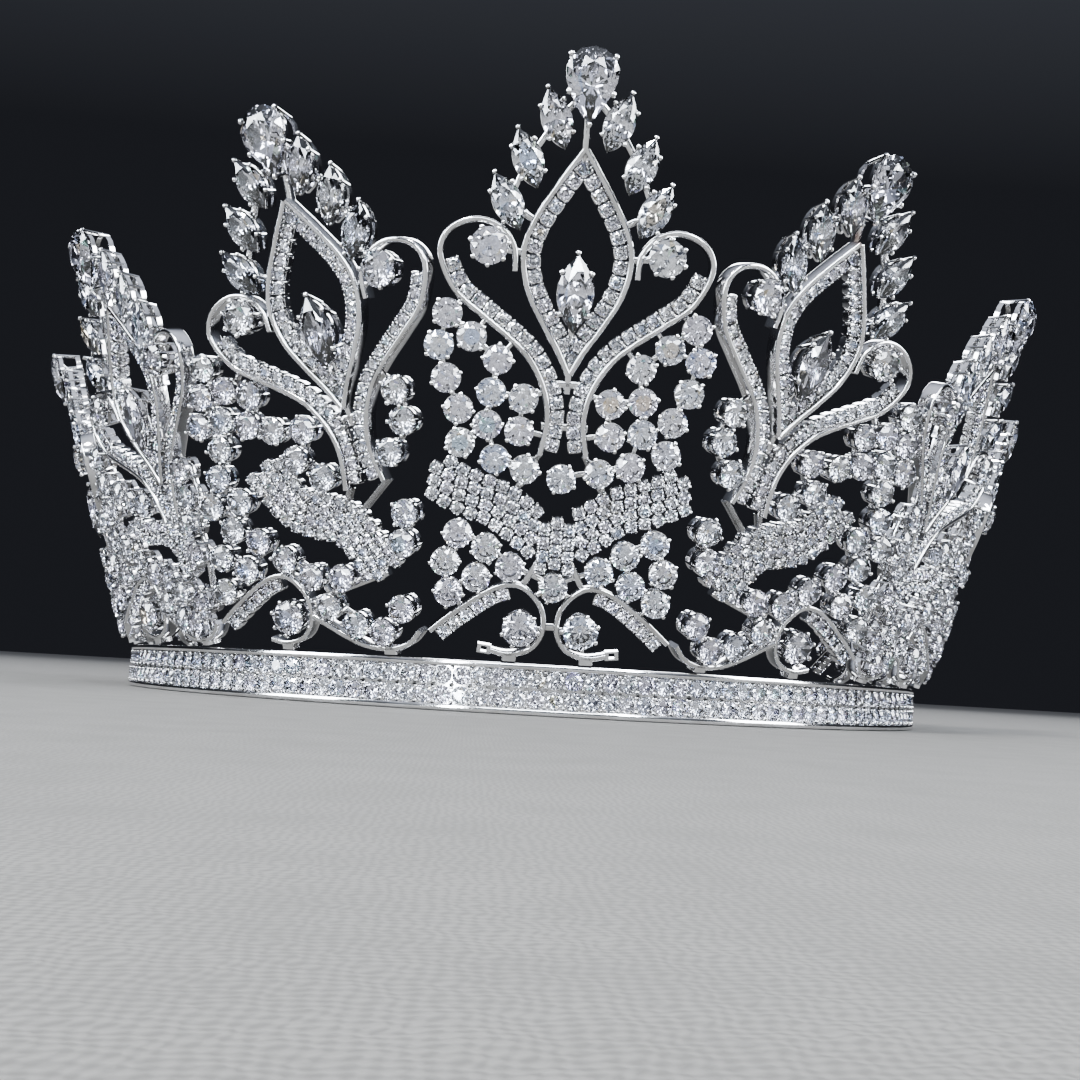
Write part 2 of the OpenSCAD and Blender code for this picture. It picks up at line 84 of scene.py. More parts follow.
# Charts in the part's shares: across, down or up
FLAME = [(0.01, -0.17), (0.17, -0.26), (0.335, -0.365), (0.395, -0.45),
         (0.35, -0.545), (0.22, -0.635), (0.10, -0.705), (0.01, -0.77)]
CURL = [(0.45, -0.50), (0.47, -0.435), (0.58, -0.385), (0.76, -0.37), (0.94, -0.40), (1, -0.465),
        (0.88, -0.56), (0.675, -0.622), (0.46, -0.68), (0.30, -0.735), (0.18, -0.815),
        (0.137, -0.90), (0.175, -1)]
CURL_STONE, HEART_STONE, PEAR_STONE = (0.65, -0.438), (0, -0.55), (-0.05, -0.01)
CREST = [(0.225, -0.098, 20), (0.41, -0.205, 22), (0.535, -0.32, 28)]
FLAME_TOP, FLAME_FOOT, RUNG_W, RUNGS = (0, -0.2), (0, -0.82), 0.16, (-0.80, -0.92)
SCROLL = [(0.48, 0.13), (0.32, 0.09), (0.14, 0.19), (0.058, 0.45), (0.094, 0.76),
          (0.27, 1), (0.49, 0.945), (0.76, 0.65), (0.985, 0.34)]
SCROLL_STONE, SCROLL_FOOT = (0.25, 0.46), 0.32
FAR_SCROLL = [(-0.985, 0.33), (-0.87, 0.155), (-0.69, 0.075), (-0.47, 0.10), (-0.27, 0.22),
              (-0.10, 0.36), (0.04, 0.47)]
FAR_FOOT = -0.69
CENTRE_ARM = [(0.06, 0.02), (0.27, 0.3), (0.49, 0.55), (0.82, 0.75), (1.07, 0.98)]
SIDE_ARM = [(-0.68, -0.5), (-0.36, 0.2), (0.1, 0.42), (0.47, 1.1)]
FIELD = [(0.986, 0.611), (0.786, 0.574), (1.039, 0.556), (0.569, 0.538), (0.968, 0.501),
         (0.605, 0.481), (0.346, 0.474), (0.857, 0.449), (0.364, 0.417), (0.622, 0.425),
         (0.828, 0.391), (0.546, 0.366), (0.299, 0.351), (0, 0.338), (0.364, 0.174),
         (0.569, 0.207), (0.804, 0.23), (0.634, 0.152), (0.892, 0.178), (0.851, 0.123),
         (0, 0.141)]
ARM_SCALE = [1, 1, 0.4]
ARM_WIDTH = [ARM_W, ARM_W, ARM_W * 0.62, 0, 0]
STEM_FLOOR = [1.3, 1.3, 1.75, 1.35]
END_FIELD = [2.1, 1.3]
STEM_START, SLOPE_START, LOOP_START = 5, 16 / 3, 3
STRIP_LAP = 0.95
FIELD_STEP, FIRST_ROW = 0.85, 3
TIE_REACH, RIM_REACH = FIELD_D * 2.4, FIELD_D * 0.95

# Steps from one chart point to the next: as in the part for placing, finer for drawing
PLACING, DRAWING = 3, 7

# Small stones where the two centre arms meet, as (across, up); their mirror images are added
ARM_MIDDLE = [(0, 14.3), (0, 16.2), (0, 18.1), (0, 20), (1.75, 15.3), (1.75, 17.2), (1.75, 19.1),
              (2, 13.5)]
ARM_ROW_W, ARM_ROW_START, ARM_STAGGER, ARM_CLEAR = 1.8, 0.5, 0.98, 1.5

# Brown stains at old solder, as (panel, across, below its peak), and how far outward they are
STAINS = [(0, -1.9, 5.6), (1, -1.6, 7.0)]
STAIN_W = 2.0

# Directions of the corners of a square
CORNERS = ((-1, -1), (1, -1), (1, 1), (-1, 1))

# The photo's focal length and width in pixels
PHOTO_FOCAL, PHOTO_W = 1252, 1080
SENSOR_W = 36
MM_PER_M = 1000

# The colour sockets of a mix node
MIX_A, MIX_B, MIX_RESULT = 6, 7, 2

# Light colours, and the point in metres that every light is turned to
WARM, COOL, PALE = (1.0, 0.985, 0.97), (0.88, 0.94, 1.0), (0.93, 0.96, 1.0)
LIT_POINT = (0, -0.02, 0.05)

chance = np.random.default_rng(11)


# Curves and distances

def chart(points, w, h):
    return np.array([(x * w, y * h) for x, y in points], float)


def flip(points):
    return points * np.array([-1.0, 1.0])


def turn(points, degrees):
    c, s = math.cos(math.radians(degrees)), math.sin(math.radians(degrees))
    p = np.asarray(points, float)
    return np.stack([p[..., 0] * c + p[..., 1] * s, p[..., 1] * c - p[..., 0] * s], -1)


def spline(points, steps):
    n = len(points) - 1
    out = []
    for i in range(n):
        a, b, c, d = points[max(i - 1, 0)], points[i], points[i + 1], points[min(i + 2, n)]
        for t in np.arange(steps) / steps:
            out.append(0.5 * (2 * b + (c - a) * t + (2 * a - 5 * b + 4 * c - d) * t * t
                              + (3 * b - a - 3 * c + d) * t ** 3))
    return np.array(out + [points[n]])


def sides(path):
    """Unit vectors to the left of each point of an open path."""
    d = np.empty_like(path)
    d[1:-1] = path[2:] - path[:-2]
    d[0], d[-1] = path[1] - path[0], path[-1] - path[-2]
    return np.stack([-d[:, 1], d[:, 0]], 1) / np.linalg.norm(d, axis=1)[:, None]


def beside(path, distance):
    return path + distance * sides(path)


def nearest_point(p, path):
    """The point of a path that is nearest to p."""
    a, d = path[:-1], path[1:] - path[:-1]
    t = np.clip(((p - a) * d).sum(1) / (d * d).sum(1), 0, 1)
    near = a + t[:, None] * d
    return near[np.linalg.norm(near - p, axis=1).argmin()]


def distances(points, path):
    """How far each of many points is from a path."""
    a, d = path[:-1], path[1:] - path[:-1]
    t = np.clip(((points[:, None] - a) * d).sum(2) / (d * d).sum(1), 0, 1)
    return np.linalg.norm(a + t[..., None] * d - points[:, None], axis=2).min(1)


def inside(points, poly):
    a, b = poly, np.roll(poly, -1, 0)
    x, y = points[:, None, 0], points[:, None, 1]
    rise = np.where(b[:, 1] == a[:, 1], 1, b[:, 1] - a[:, 1])
    spans = (a[:, 1] > y) != (b[:, 1] > y)
    crosses = spans & (x < a[:, 0] + (y - a[:, 1]) * (b[:, 0] - a[:, 0]) / rise)
    return crosses.sum(1) % 2 == 1


def lengths(path):
    """How far along a path each of its points is."""
    return np.concatenate([[0], np.cumsum(np.linalg.norm(np.diff(path, axis=0), axis=1))])


def points_at(path, at):
    """The points at the given distances along a path."""
    far = lengths(path)
    return np.stack([np.interp(at, far, path[:, 0]), np.interp(at, far, path[:, 1])], 1)


def along(path, pitch, start=None):
    """Points and directions at even steps along a path, centred on it or from the given start."""
    length = lengths(path)[-1]
    count = max(1, int(length / pitch + 0.02))
    if start is None:
        start = (length - (count - 1) * pitch) / 2
    at = start + np.arange(count) * pitch
    reach = 0.2
    d = points_at(path, at + reach) - points_at(path, at - reach)
    return points_at(path, at), np.degrees(np.arctan2(d[:, 1], d[:, 0]))


# Where the pieces of a panel lie; k counts panels from the centre, always outward

def half_sector(v):
    return (SEAT_R + v * math.sin(math.radians(LEAN))) * math.tan(math.radians(PITCH / 2))


def peak_at(k):
    return np.array([PEAR_SHIFT if k else 0, CENTRE_RISE - DROPS[k]])


def tilt(k):
    return MOTIF_TILT if k else 0


def motif(points, k, side=1):
    p = chart(points, side * MOTIF_W, MOTIF_H)
    return turn(p, tilt(k)) + peak_at(k)


def pear_at(k):
    return motif([(PEAR_STONE[0] if k else 0, PEAR_STONE[1])], k)[0]


def stem(k, side, steps):
    p = spline(motif(CURL, k, side), steps)
    return p[p[:, 1] > SCROLL_H * STEM_FLOOR[k]]


def flame(k, side, steps):
    return spline(motif(FLAME, k, side), steps)


def scroll(side, steps):
    return spline(chart(SCROLL, side * SECTOR_W, SCROLL_H), steps)


def far_scroll(steps):
    return spline(chart(FAR_SCROLL, SECTOR_W, SCROLL_H), steps)


def sides_of(k):
    return [1] if k else [-1, 1]


def rails(k, steps):
    out = []
    if k < 4:
        out += [flame(k, s, steps) for s in (-1, 1)]
        out += [stem(k, s, steps) for s in (-1, 1)]
    out += [scroll(s, steps) for s in sides_of(k)]
    if k:
        out.append(far_scroll(steps))
    return out


def strip_beside(path, side):
    return beside(path, -side * (RAIL_W + STRIP_W) / 2 * STRIP_LAP)


def lower_stem(k, side, steps):
    return stem(k, side, steps)[STEM_START * steps:]


def strips(k, steps):
    out = []
    if k < 4:
        out += [strip_beside(flame(k, s, steps), s) for s in (-1, 1)]
        out += [strip_beside(lower_stem(k, s, steps), s) for s in (-1, 1)]
    first = round(SLOPE_START * steps)
    out += [strip_beside(scroll(s, steps)[first:], s) for s in sides_of(k)]
    return out


def arm(k, side, steps):
    points = [(side * x * SECTOR_W, ARM_BASE + y * ARM_RISE * (ARM_SCALE[k] if y > 0 else 1))
              for x, y in (SIDE_ARM if k else CENTRE_ARM)]
    return spline(np.array(points), steps)


def arms(k, steps):
    return [arm(k, s, steps) for s in sides_of(k)] if k < 3 else []


def scroll_stone_at(side):
    return np.array([side * SCROLL_STONE[0] * SECTOR_W, SCROLL_STONE[1] * SCROLL_H])


def top_corner(k, side):
    v = lower_stem(k, side, PLACING)[0][1] - FIELD_D if k < 4 else SCROLL_H * END_FIELD[side > 0]
    return np.array([[side * half_sector(v), v]])


def region(k):
    parts = [top_corner(k, -1)]
    if k < 4:
        parts += [lower_stem(k, -1, PLACING), lower_stem(k, 1, PLACING)[::-1]]
    first = LOOP_START * PLACING
    parts += [top_corner(k, 1), scroll(1, PLACING)[first:][::-1]]
    parts.append(far_scroll(PLACING)[::-1] if k else scroll(-1, PLACING)[first:])
    return np.concatenate(parts)


def across(path, step):
    """A neighbour's path as it lies over this panel: step 1 is the panel further out, -1 the one before."""
    h = half_sector(path[:, 1])
    return np.stack([step * (h + (h + step * path[:, 0]) * math.cos(math.radians(PITCH))), path[:, 1]], 1)


def reaching_over(k):
    """What neighbours reach over the border, as paths and half widths."""
    out = []
    if k < 3:
        out.append((across(stem(k + 1, -1, PLACING), 1), RAIL_W / 2))
        out.append((across(strip_beside(lower_stem(k + 1, -1, PLACING), -1), 1), STRIP_W / 2))
    if k:
        out += [(across(a, -1), ARM_WIDTH[k - 1] / 2) for a in arms(k - 1, PLACING)]
    return out


def field_sites(k):
    """The scattered round stones: the charted ones, then row by row as in the part."""
    room = FIELD_D / 2 + GAP
    columns = math.ceil(half_sector(CENTRE_RISE) / FIELD_STEP)
    rows = range(FIRST_ROW, math.ceil(CENTRE_RISE / FIELD_STEP) + 1)
    first = -columns if k else 0
    p = FIELD_STEP * np.array([(i, j) for j in rows for i in range(first, columns + 1)], float)
    if k == 0:
        p = np.concatenate([chart(FIELD, SECTOR_W, CENTRE_RISE), p])
    keep = (np.abs(p[:, 0]) < half_sector(p[:, 1]) - room - GAP) & inside(p, region(k))
    if k == 0:
        keep &= (p[:, 0] == 0) | (p[:, 0] > room)
    lines = [(r, room + RAIL_W / 2) for r in rails(k, PLACING)]
    lines += [(r, room + STRIP_W / 2) for r in strips(k, PLACING)]
    lines += [(r, room + ARM_WIDTH[k] / 2) for r in arms(k, PLACING)]
    lines += [(r, room + half) for r, half in reaching_over(k)]
    for path, free in lines:
        keep &= distances(p, path) > free
    for s in sides_of(k):
        keep &= np.linalg.norm(p - scroll_stone_at(s), axis=1) >= room + ROUND_D / 2
    kept = []
    for q in p[keep]:
        if all(np.linalg.norm(q - r) >= FIELD_D + 2 * GAP for r in kept):
            kept.append(q)
    if k == 0:
        kept += [flip(q) for q in kept if q[0] > 0]
    return np.array(kept)


# Closed shapes as (points, faces)

def outward(points, faces):
    """Turns the faces round if the closed shape is inside out."""
    volume = 0.0
    for f in faces:
        for i in range(1, len(f) - 1):
            volume += np.dot(points[f[0]], np.cross(points[f[i]], points[f[i + 1]]))
    return (points, [f[::-1] for f in faces]) if volume < 0 else (points, faces)


def facing_out(points, faces, middle):
    """Turns each facet of a cut stone away from the stone's middle."""
    faces = list(faces)
    for i, f in enumerate(faces):
        a, b, c = points[f[0]], points[f[1]], points[f[2]]
        if np.dot(np.cross(b - a, c - a), a - middle) < 0:
            faces[i] = f[::-1]
    return points, faces


def skin(loops, ring=False):
    """Quads between loops of equal length; the ends are capped, or joined if it is a ring."""
    n, m = len(loops[0]), len(loops)
    faces = []
    for j in range(m if ring else m - 1):
        low, high = j * n, (j + 1) % m * n
        faces += [[low + i, low + (i + 1) % n, high + (i + 1) % n, high + i] for i in range(n)]
    if not ring:
        faces += [list(range(n))[::-1], [(m - 1) * n + i for i in range(n)]]
    return outward(np.concatenate(loops), faces)


def raised(flat, w):
    """A flat loop lifted to w."""
    return np.column_stack([flat, np.full(len(flat), float(w))])


def around(outline, distance):
    """A closed outline moved outward."""
    d = np.roll(outline, -1, 0) - np.roll(outline, 1, 0)
    out = np.stack([d[:, 1], -d[:, 0]], 1) / np.linalg.norm(d, axis=1)[:, None]
    return outline + distance * out


def collar(outline, section):
    """A ring that follows a closed outline; the section is (distance outward, w)."""
    return skin([raised(around(outline, o), w) for o, w in section], ring=True)


def rounded(w, low, high, r, steps=2):
    """Cross-section of a bar with rounded edges."""
    corners = ((w / 2 - r, low + r, -90), (w / 2 - r, high - r, 0),
               (r - w / 2, high - r, 90), (r - w / 2, low + r, 180))
    angles = [(x, y, math.radians(a + 90 * i / steps)) for x, y, a in corners for i in range(steps + 1)]
    return np.array([(x + r * math.cos(a), y + r * math.sin(a)) for x, y, a in angles])


def swept(path, section):
    """A bar along an open path on the panel; the section is (across, w)."""
    n = sides(path)
    loops = []
    for p, side in zip(path, n):
        flat = p + section[:, :1] * side
        loops.append(np.column_stack([flat, section[:, 1]]))
    return skin(loops)


def bar(a, b, w=BAR_W, high=CUP_D):
    """A flat bar between two points, its ends run on a little."""
    d = w / 2 * (b - a) / max(np.linalg.norm(b - a), 1e-6)
    return swept(np.array([a - d * 0.6, b + d * 0.6]), rounded(w, 0, high, BAR_EDGE))


def post(a, b, r, ball=0.0, around_n=8):
    """A round post from a to b with a round or ball tip."""
    a, b = np.asarray(a, float), np.asarray(b, float)
    axis = (b - a) / np.linalg.norm(b - a)
    one = np.cross(axis, (0, 1, 0) if abs(axis[1]) < 0.9 else (1, 0, 0))
    one /= np.linalg.norm(one)
    other = np.cross(axis, one)
    ball = max(ball, r)
    low = -math.degrees(math.acos(min(1, r / ball)))
    rings = [(a, r)]
    for angle in (low, low / 2 + 12, 40, 70):
        t = math.radians(angle)
        rings.append((b + axis * ball * math.sin(t), ball * math.cos(t)))
    spin = np.linspace(0, 2 * math.pi, around_n, endpoint=False)
    unit = np.cos(spin)[:, None] * one + np.sin(spin)[:, None] * other
    return skin([centre + radius * unit for centre, radius in rings])


def rays(n):
    """Unit vectors all round, the first half a step up from the axis."""
    spin = (np.arange(n) + 0.5) * 2 * math.pi / n
    return np.stack([np.cos(spin), np.sin(spin)], 1)


def circle(d, n):
    return d / 2 * rays(n)


def marquise(l, w, n=16):
    """Pointed at both ends; n is a multiple of four."""
    t = np.linspace(-1, 1, n // 2 + 1)
    right = np.stack([w / 2 * (1 - t * t), t * l / 2], 1)
    return np.concatenate([right[:-1], -right[:-1]])


def pear(l, w):
    """Point down, widest a little above its middle."""
    side = np.array([(0, -0.5), (0.13, -0.39), (0.25, -0.26), (0.36, -0.13), (0.445, 0), (0.49, 0.13),
                     (0.475, 0.27), (0.36, 0.40), (0.19, 0.475), (0, 0.5)]) * (w, l)
    curve = spline(side, 4)
    half = points_at(curve, np.linspace(0, lengths(curve)[-1], 9))
    return np.concatenate([half, flip(half[-2:0:-1])])


def brilliant(outline, w):
    """A cut stone from its culet up: table, star, kite and upper facets, girdle, and pavilion."""
    n = len(outline)
    half = n // 2
    crown, pavilion, edge = CROWN_SHARE * w, PAVILION_SHARE * w, 0.02 * w
    girdle = pavilion
    star = (TABLE_SHARE * 0.93 + 1) / 2
    star_w = crown * (1 - star * math.cos(math.pi / half)) / (1 - TABLE_SHARE)
    low = 0.24
    points = np.concatenate([
        raised(outline, girdle - edge / 2), raised(outline, girdle + edge / 2),
        raised(outline[1::2] * star, girdle + edge / 2 + star_w),
        raised(outline[0::2] * TABLE_SHARE, girdle + crown),
        raised(outline[1::2] * low * 1.04, pavilion * low),
        [[0, 0, 0]]])
    up, mid, top, below, culet = n, 2 * n, 2 * n + half, 2 * n + 2 * half, 2 * n + 3 * half
    faces = [list(range(top, top + half))]
    for i in range(half):
        g, h, nxt, prev = 2 * i, 2 * i + 1, (2 * i + 2) % n, (i - 1) % half
        faces += [[i + top, (i + 1) % half + top, i + mid][::-1],
                  [i + top, prev + mid, g + up, i + mid][::-1],
                  [i + mid, g + up, h + up][::-1], [i + mid, h + up, nxt + up][::-1],
                  [g, h, h + up, g + up], [h, nxt, nxt + up, h + up],
                  [i + below, h, g], [i + below, nxt, h],
                  [culet, i + below, g, prev + below]]
    return facing_out(points, faces, np.array([0, 0, girdle]))


def round_brilliant(d):
    return brilliant(circle(d, 16), d)


def small_brilliant(d):
    """A stone of the fine lines: eight sides, table, crown and pavilion."""
    outline = circle(d, 8)
    girdle, table = PAVILION_SHARE * d, (PAVILION_SHARE + CROWN_SHARE) * d
    upper = raised(turn(outline, 22.5) * 0.62, table)
    points = np.concatenate([raised(outline, girdle), upper, [[0, 0, 0]]])
    faces = [list(range(8, 16))]
    for i in range(8):
        j = (i + 1) % 8
        faces += [[i, j, 8 + j], [i, 8 + j, 8 + i], [16, j, i]]
    return facing_out(points, faces, np.array([0, 0, girdle]))


class Shapes:
    """Closed shapes gathered into one mesh."""

    def __init__(self):
        self.points, self.faces, self.count = [], [], 0

    def add(self, shape):
        points, faces = shape
        self.points.append(points)
        self.faces += [[v + self.count for v in f] for f in faces]
        self.count += len(points)

    def copy(self, shape, at, w=0.0, turned=0.0, lean=(0.0, 0.0)):
        """Adds a copy, leant a little about its own foot, turned and moved."""
        points, faces = shape
        p = points.copy()
        p[:, 2] += p[:, 0] * lean[0] + p[:, 1] * lean[1]
        p[:, :2] = turn(p[:, :2], turned) + np.asarray(at, float)
        p[:, 2] += w
        self.add((p, faces))

    def joined(self):
        """All of it as one (points, faces)."""
        return np.concatenate(self.points), self.faces


# Settings

def round_setting(d, prongs):
    """An open basket: two rings and ball prongs that reach over the girdle."""
    s = Shapes()
    girdle = CULET_W + PAVILION_SHARE * d
    s.add(collar(circle(d * 0.74, 20), [(0.3, 0), (0.34, 0.75), (-0.02, 0.75), (-0.1, 0)]))
    s.add(collar(circle(d * 0.9, 20), [(0.16, girdle - 1.15), (0.24, girdle - 0.55), (-0.06, girdle - 0.5),
                                      (-0.14, girdle - 1.15)]))
    r = 0.3 if d < 4.5 else 0.34
    for i in range(prongs):
        a = 2 * math.pi * (i + 0.5) / prongs
        out = np.array([math.cos(a), math.sin(a), 0])
        foot = out * d * 0.4
        tip = out * (d / 2 + 0.02) + np.array([0, 0, girdle + 0.22])
        s.add(post(foot, tip, r * 0.8, r * 1.15))
    return s.joined()


def shaped_setting(outline, w, prongs, ball=0.44):
    """A basket that follows a marquise or pear, with ball prongs at the given points."""
    s = Shapes()
    girdle = CULET_W + PAVILION_SHARE * w
    inner = outline * 0.8
    s.add(collar(inner, [(0.25, 0), (0.3, 0.8), (-0.1, 0.8), (-0.15, 0)]))
    s.add(collar(outline * 0.93, [(0.1, girdle - 1.25), (0.2, girdle - 0.6), (-0.12, girdle - 0.55),
                                  (-0.2, girdle - 1.25)]))
    for i in prongs:
        q = outline[i]
        out = q / np.linalg.norm(q)
        foot = np.append(inner[i], 0)
        tip = np.append(q + out * 0.14, girdle + 0.03)
        s.add(post(foot, tip, ball * 0.7, ball))
    return s.joined()


def small_cup(d, square):
    """A cup of the fine lines with its four corner prongs."""
    s = Shapes()
    n = 16
    ray = rays(n)
    power = 5 if square else 2
    reach = (np.abs(ray) ** power).sum(1) ** (-1 / power)
    rim = (d / 2 + 0.07) * reach[:, None] * ray
    hole = circle(d, n)
    s.add(skin([raised(rim * 0.86, 0), raised(rim, STRIP_D - 0.45), raised(hole * 0.9, STRIP_D - 0.4),
                raised(hole * 0.45, 0.1)], ring=True))
    for i in range(4):
        a = math.pi / 4 + i * math.pi / 2
        x, y = (d / 2 + 0.02) * math.cos(a), (d / 2 + 0.02) * math.sin(a)
        if square:
            x, y = x * 1.12, y * 1.12
        s.add(post((x, y, 0.5), (x * 0.97, y * 0.97, STRIP_D + 0.02), 0.2, 0.24, 6))
    return s.joined()


def wobble(amount):
    return tuple(chance.uniform(-amount, amount, 2))


def set_round(metal, stones, cup, gem, at, lean):
    """A round stone in its cup, each turned at random."""
    metal.copy(cup, at, turned=chance.uniform(0, 90))
    stones.copy(gem, at, CULET_W, chance.uniform(0, 45), wobble(lean))


def set_shaped(metal, stones, cup, gem, at, turned, lean=(0.0, 0.0)):
    metal.copy(cup, at, turned=turned)
    stones.copy(gem, at, CULET_W, turned, lean)


def small_stones(metal, stones, points, angles, square):
    cup, gem = small_cup(SMALL_D, square), small_brilliant(SMALL_D)
    for p, a in zip(points, angles):
        metal.copy(cup, p, turned=-a)
        stones.copy(gem, p, STRIP_D - 0.62, chance.uniform(0, 45), wobble(SMALL_LEAN))


def arm_rows(k):
    """Staggered rows on the arms, and a middle column where the two centre arms meet."""
    rows = round(ARM_WIDTH[k] / ARM_ROW_W)
    middle = [] if k else ARM_MIDDLE + [(-x, y) for x, y in ARM_MIDDLE if x]
    points, angles = list(middle), [0.0] * len(middle)
    for side in sides_of(k) if ARM_WIDTH[k] else ():
        path = arm(k, side, DRAWING)
        for row in range(rows):
            offset = -side * (row - (rows - 1) / 2) * ARM_WIDTH[k] / rows
            start = ARM_ROW_START + row % 2 * ARM_STAGGER
            spots, turns = along(beside(path, offset), SMALL_PITCH, start)
            for spot, a in zip(spots, turns):
                clear = all(math.dist(spot, q) > ARM_CLEAR for q in middle)
                if clear and (k or spot[0] * side > 0):
                    points.append(spot + chance.uniform(-0.06, 0.06, 2))
                    angles.append(a + chance.uniform(-20, 20))
    return points, angles


def bars_between(metal, sites, k):
    """Ties each scattered cup to an earlier one near it, or else to the nearest rail or arm."""
    lines = rails(k, PLACING) + arms(k, PLACING)
    for i, p in enumerate(sites):
        far = np.linalg.norm(sites[:i] - p, axis=1)
        near = [nearest_point(p, path) for path in lines]
        reach = np.array([math.dist(p, q) for q in near])
        first = sites[far.argmin()] if i and far.min() < 2 * FIELD_D else near[reach.argmin()]
        for q in [first, *np.array(near)[reach < RIM_REACH]]:
            metal.add(bar(p, q, THIN_BAR_W, THIN_BAR_D))


def motif_ties(metal, k):
    """Bars behind the crest, the curls and the flame."""
    for s in (-1, 1):
        crest = [row[0] for row in crest_at(k, s)]
        curl = motif([CURL_STONE], k, s)[0]
        for a, b in ((pear_at(k), crest[0]), (crest[0], crest[1]), (crest[1], crest[2]),
                     (crest[2], nearest_point(crest[2], flame(k, s, PLACING))),
                     (curl, nearest_point(curl, flame(k, s, PLACING)))):
            metal.add(bar(a, b))
    metal.add(bar(pear_at(k), motif([FLAME_TOP], k)[0]))
    metal.add(bar(motif([HEART_STONE], k)[0], motif([FLAME_FOOT], k)[0]))
    for share in RUNGS:
        metal.add(bar(motif([(-RUNG_W, share)], k)[0], motif([(RUNG_W, share)], k)[0]))


def ties(metal, k):
    """Bars behind the motif, the arms and the scrolls."""
    if k < 4:
        motif_ties(metal, k)
    for s in sides_of(k):
        metal.add(bar(scroll_stone_at(s), nearest_point(scroll_stone_at(s), scroll(s, PLACING))))
    for path in arms(k, PLACING):
        for r in rails(k, PLACING):
            near = nearest_point(r[-1], path)
            if GAP < np.linalg.norm(r[-1] - near) < TIE_REACH:
                metal.add(bar(r[-1], near))
    if k < 3:
        for s in sides_of(k):
            base = arm(k, s, PLACING)[0]
            metal.add(bar(base, nearest_point(base, scroll(s, PLACING))))
        for s in (-1, 1):
            tip = stem(k, s, PLACING)[-1]
            metal.add(bar(tip, nearest_point(tip, arm(k, 1 if k else s, PLACING))))
    if k == 0:
        metal.add(bar(*[scroll(s, PLACING)[LOOP_START * PLACING] for s in (-1, 1)]))


def feet(metal, k):
    """Short blocks between the lowest rails and the hoop."""
    shares = [s * SCROLL_FOOT for s in sides_of(k)] + ([FAR_FOOT] if k else [])
    for x in shares:
        ends = np.array([(x * SECTOR_W, 0.02), (x * SECTOR_W, SCROLL_H * 0.1)])
        metal.add(swept(ends, rounded(2.0, 0, RAIL_D, 0.3)))


def tab(metal, end, direction):
    """A small square plate with a square hole, at the end of a lower hook."""
    d = np.array(direction, float) / np.linalg.norm(direction)
    n = np.array([-d[1], d[0]])
    centre = end + d * 0.9
    outer = np.array([centre + 0.95 * (x * d + y * 0.68 * n) for x, y in CORNERS])
    hole = np.array([centre + 0.4 * (x * d + y * n) for x, y in CORNERS])
    back, front = 0.9, RAIL_D - 0.4
    metal.add(skin([raised(outer, back), raised(outer, front), raised(hole, front), raised(hole, back)],
                   ring=True))


def crest_at(k, side):
    """Where each marquise stone of one side of the crest is, and how it is turned."""
    centres = motif([row[:2] for row in CREST], k, side)
    return [(c, side * row[2] + tilt(k)) for c, row in zip(centres, CREST)]


def field_stones(metal, stones, k):
    sites = field_sites(k)
    cup, gem = round_setting(FIELD_D, 4), round_brilliant(FIELD_D)
    for q in sites:
        set_round(metal, stones, cup, gem, q, FIELD_LEAN)
    bars_between(metal, sites, k)


def motif_stones(metal, stones, k, round_cup, round_gem):
    """The pear, the upright marquise, and the curl stones and crest of both sides."""
    outline = pear(PEAR_L, PEAR_W)
    cup, gem = shaped_setting(outline, PEAR_W, PEAR_PRONGS), brilliant(outline, PEAR_W)
    set_shaped(metal, stones["pear"], cup, gem, pear_at(k), tilt(k))
    outline = marquise(HEART_L, HEART_W)
    cup, gem = shaped_setting(outline, HEART_W, MARQUISE_PRONGS), brilliant(outline, HEART_W)
    set_shaped(metal, stones["heart"], cup, gem, motif([HEART_STONE], k)[0], tilt(k))
    outline = marquise(CREST_L, CREST_W)
    cup, gem = shaped_setting(outline, CREST_W, MARQUISE_PRONGS, 0.36), brilliant(outline, CREST_W)
    for s in (-1, 1):
        at = motif([CURL_STONE], k, s)[0]
        set_round(metal, stones["curl_stones"], round_cup, round_gem, at, SET_LEAN)
        for at, turned in crest_at(k, s):
            set_shaped(metal, stones["crest"], cup, gem, at, turned, wobble(SET_LEAN))


def panel_shapes(k):
    """All metal and stones of the panel k places from the centre, right side."""
    metal = Shapes()
    stones = {kind: Shapes() for kind in STONE_KINDS}
    for path in rails(k, DRAWING):
        metal.add(swept(path, rounded(RAIL_W, 0, RAIL_D, RAIL_EDGE, 3)))
    for path in strips(k, DRAWING):
        points, angles = along(path, SMALL_PITCH)
        small_stones(metal, stones["fine"], points, angles, True)
    points, angles = arm_rows(k)
    small_stones(metal, stones["fine"], points, angles, False)
    field_stones(metal, stones["field"], k)
    ties(metal, k)
    feet(metal, k)
    if k == 0:
        for s in (-1, 1):
            tab(metal, scroll(s, DRAWING)[0], (s, 0.12))
    round_cup, round_gem = round_setting(ROUND_D, 7), round_brilliant(ROUND_D)
    for s in sides_of(k):
        set_round(metal, stones["scroll_stones"], round_cup, round_gem, scroll_stone_at(s), SET_LEAN)
    if k < 4:
        motif_stones(metal, stones, k, round_cup, round_gem)
    return metal, stones


def on_panel(points, place):
    """From panel coordinates to the shared frame, in millimetres."""
    u, v, w = points[:, 0] * (-1 if place < 0 else 1), points[:, 1], points[:, 2] - RAIL_D / 2
    a = math.radians(90 + LEAN)
    y = v * math.cos(a) - w * math.sin(a) - SEAT_R
    z = v * math.sin(a) + w * math.cos(a) + SEAT_Z
    b = math.radians(PITCH * place)
    return np.stack([u * math.cos(b) - y * math.sin(b), u * math.sin(b) + y * math.cos(b), z], 1)


# The hoop, drawn straight as (along, up, outward from the hoop's outer radius) and then bent

def bent(points):
    a = points[:, 0] / HOOP_R
    r = HOOP_R + points[:, 2]
    return np.stack([r * np.sin(a), -r * np.cos(a), points[:, 1]], 1)


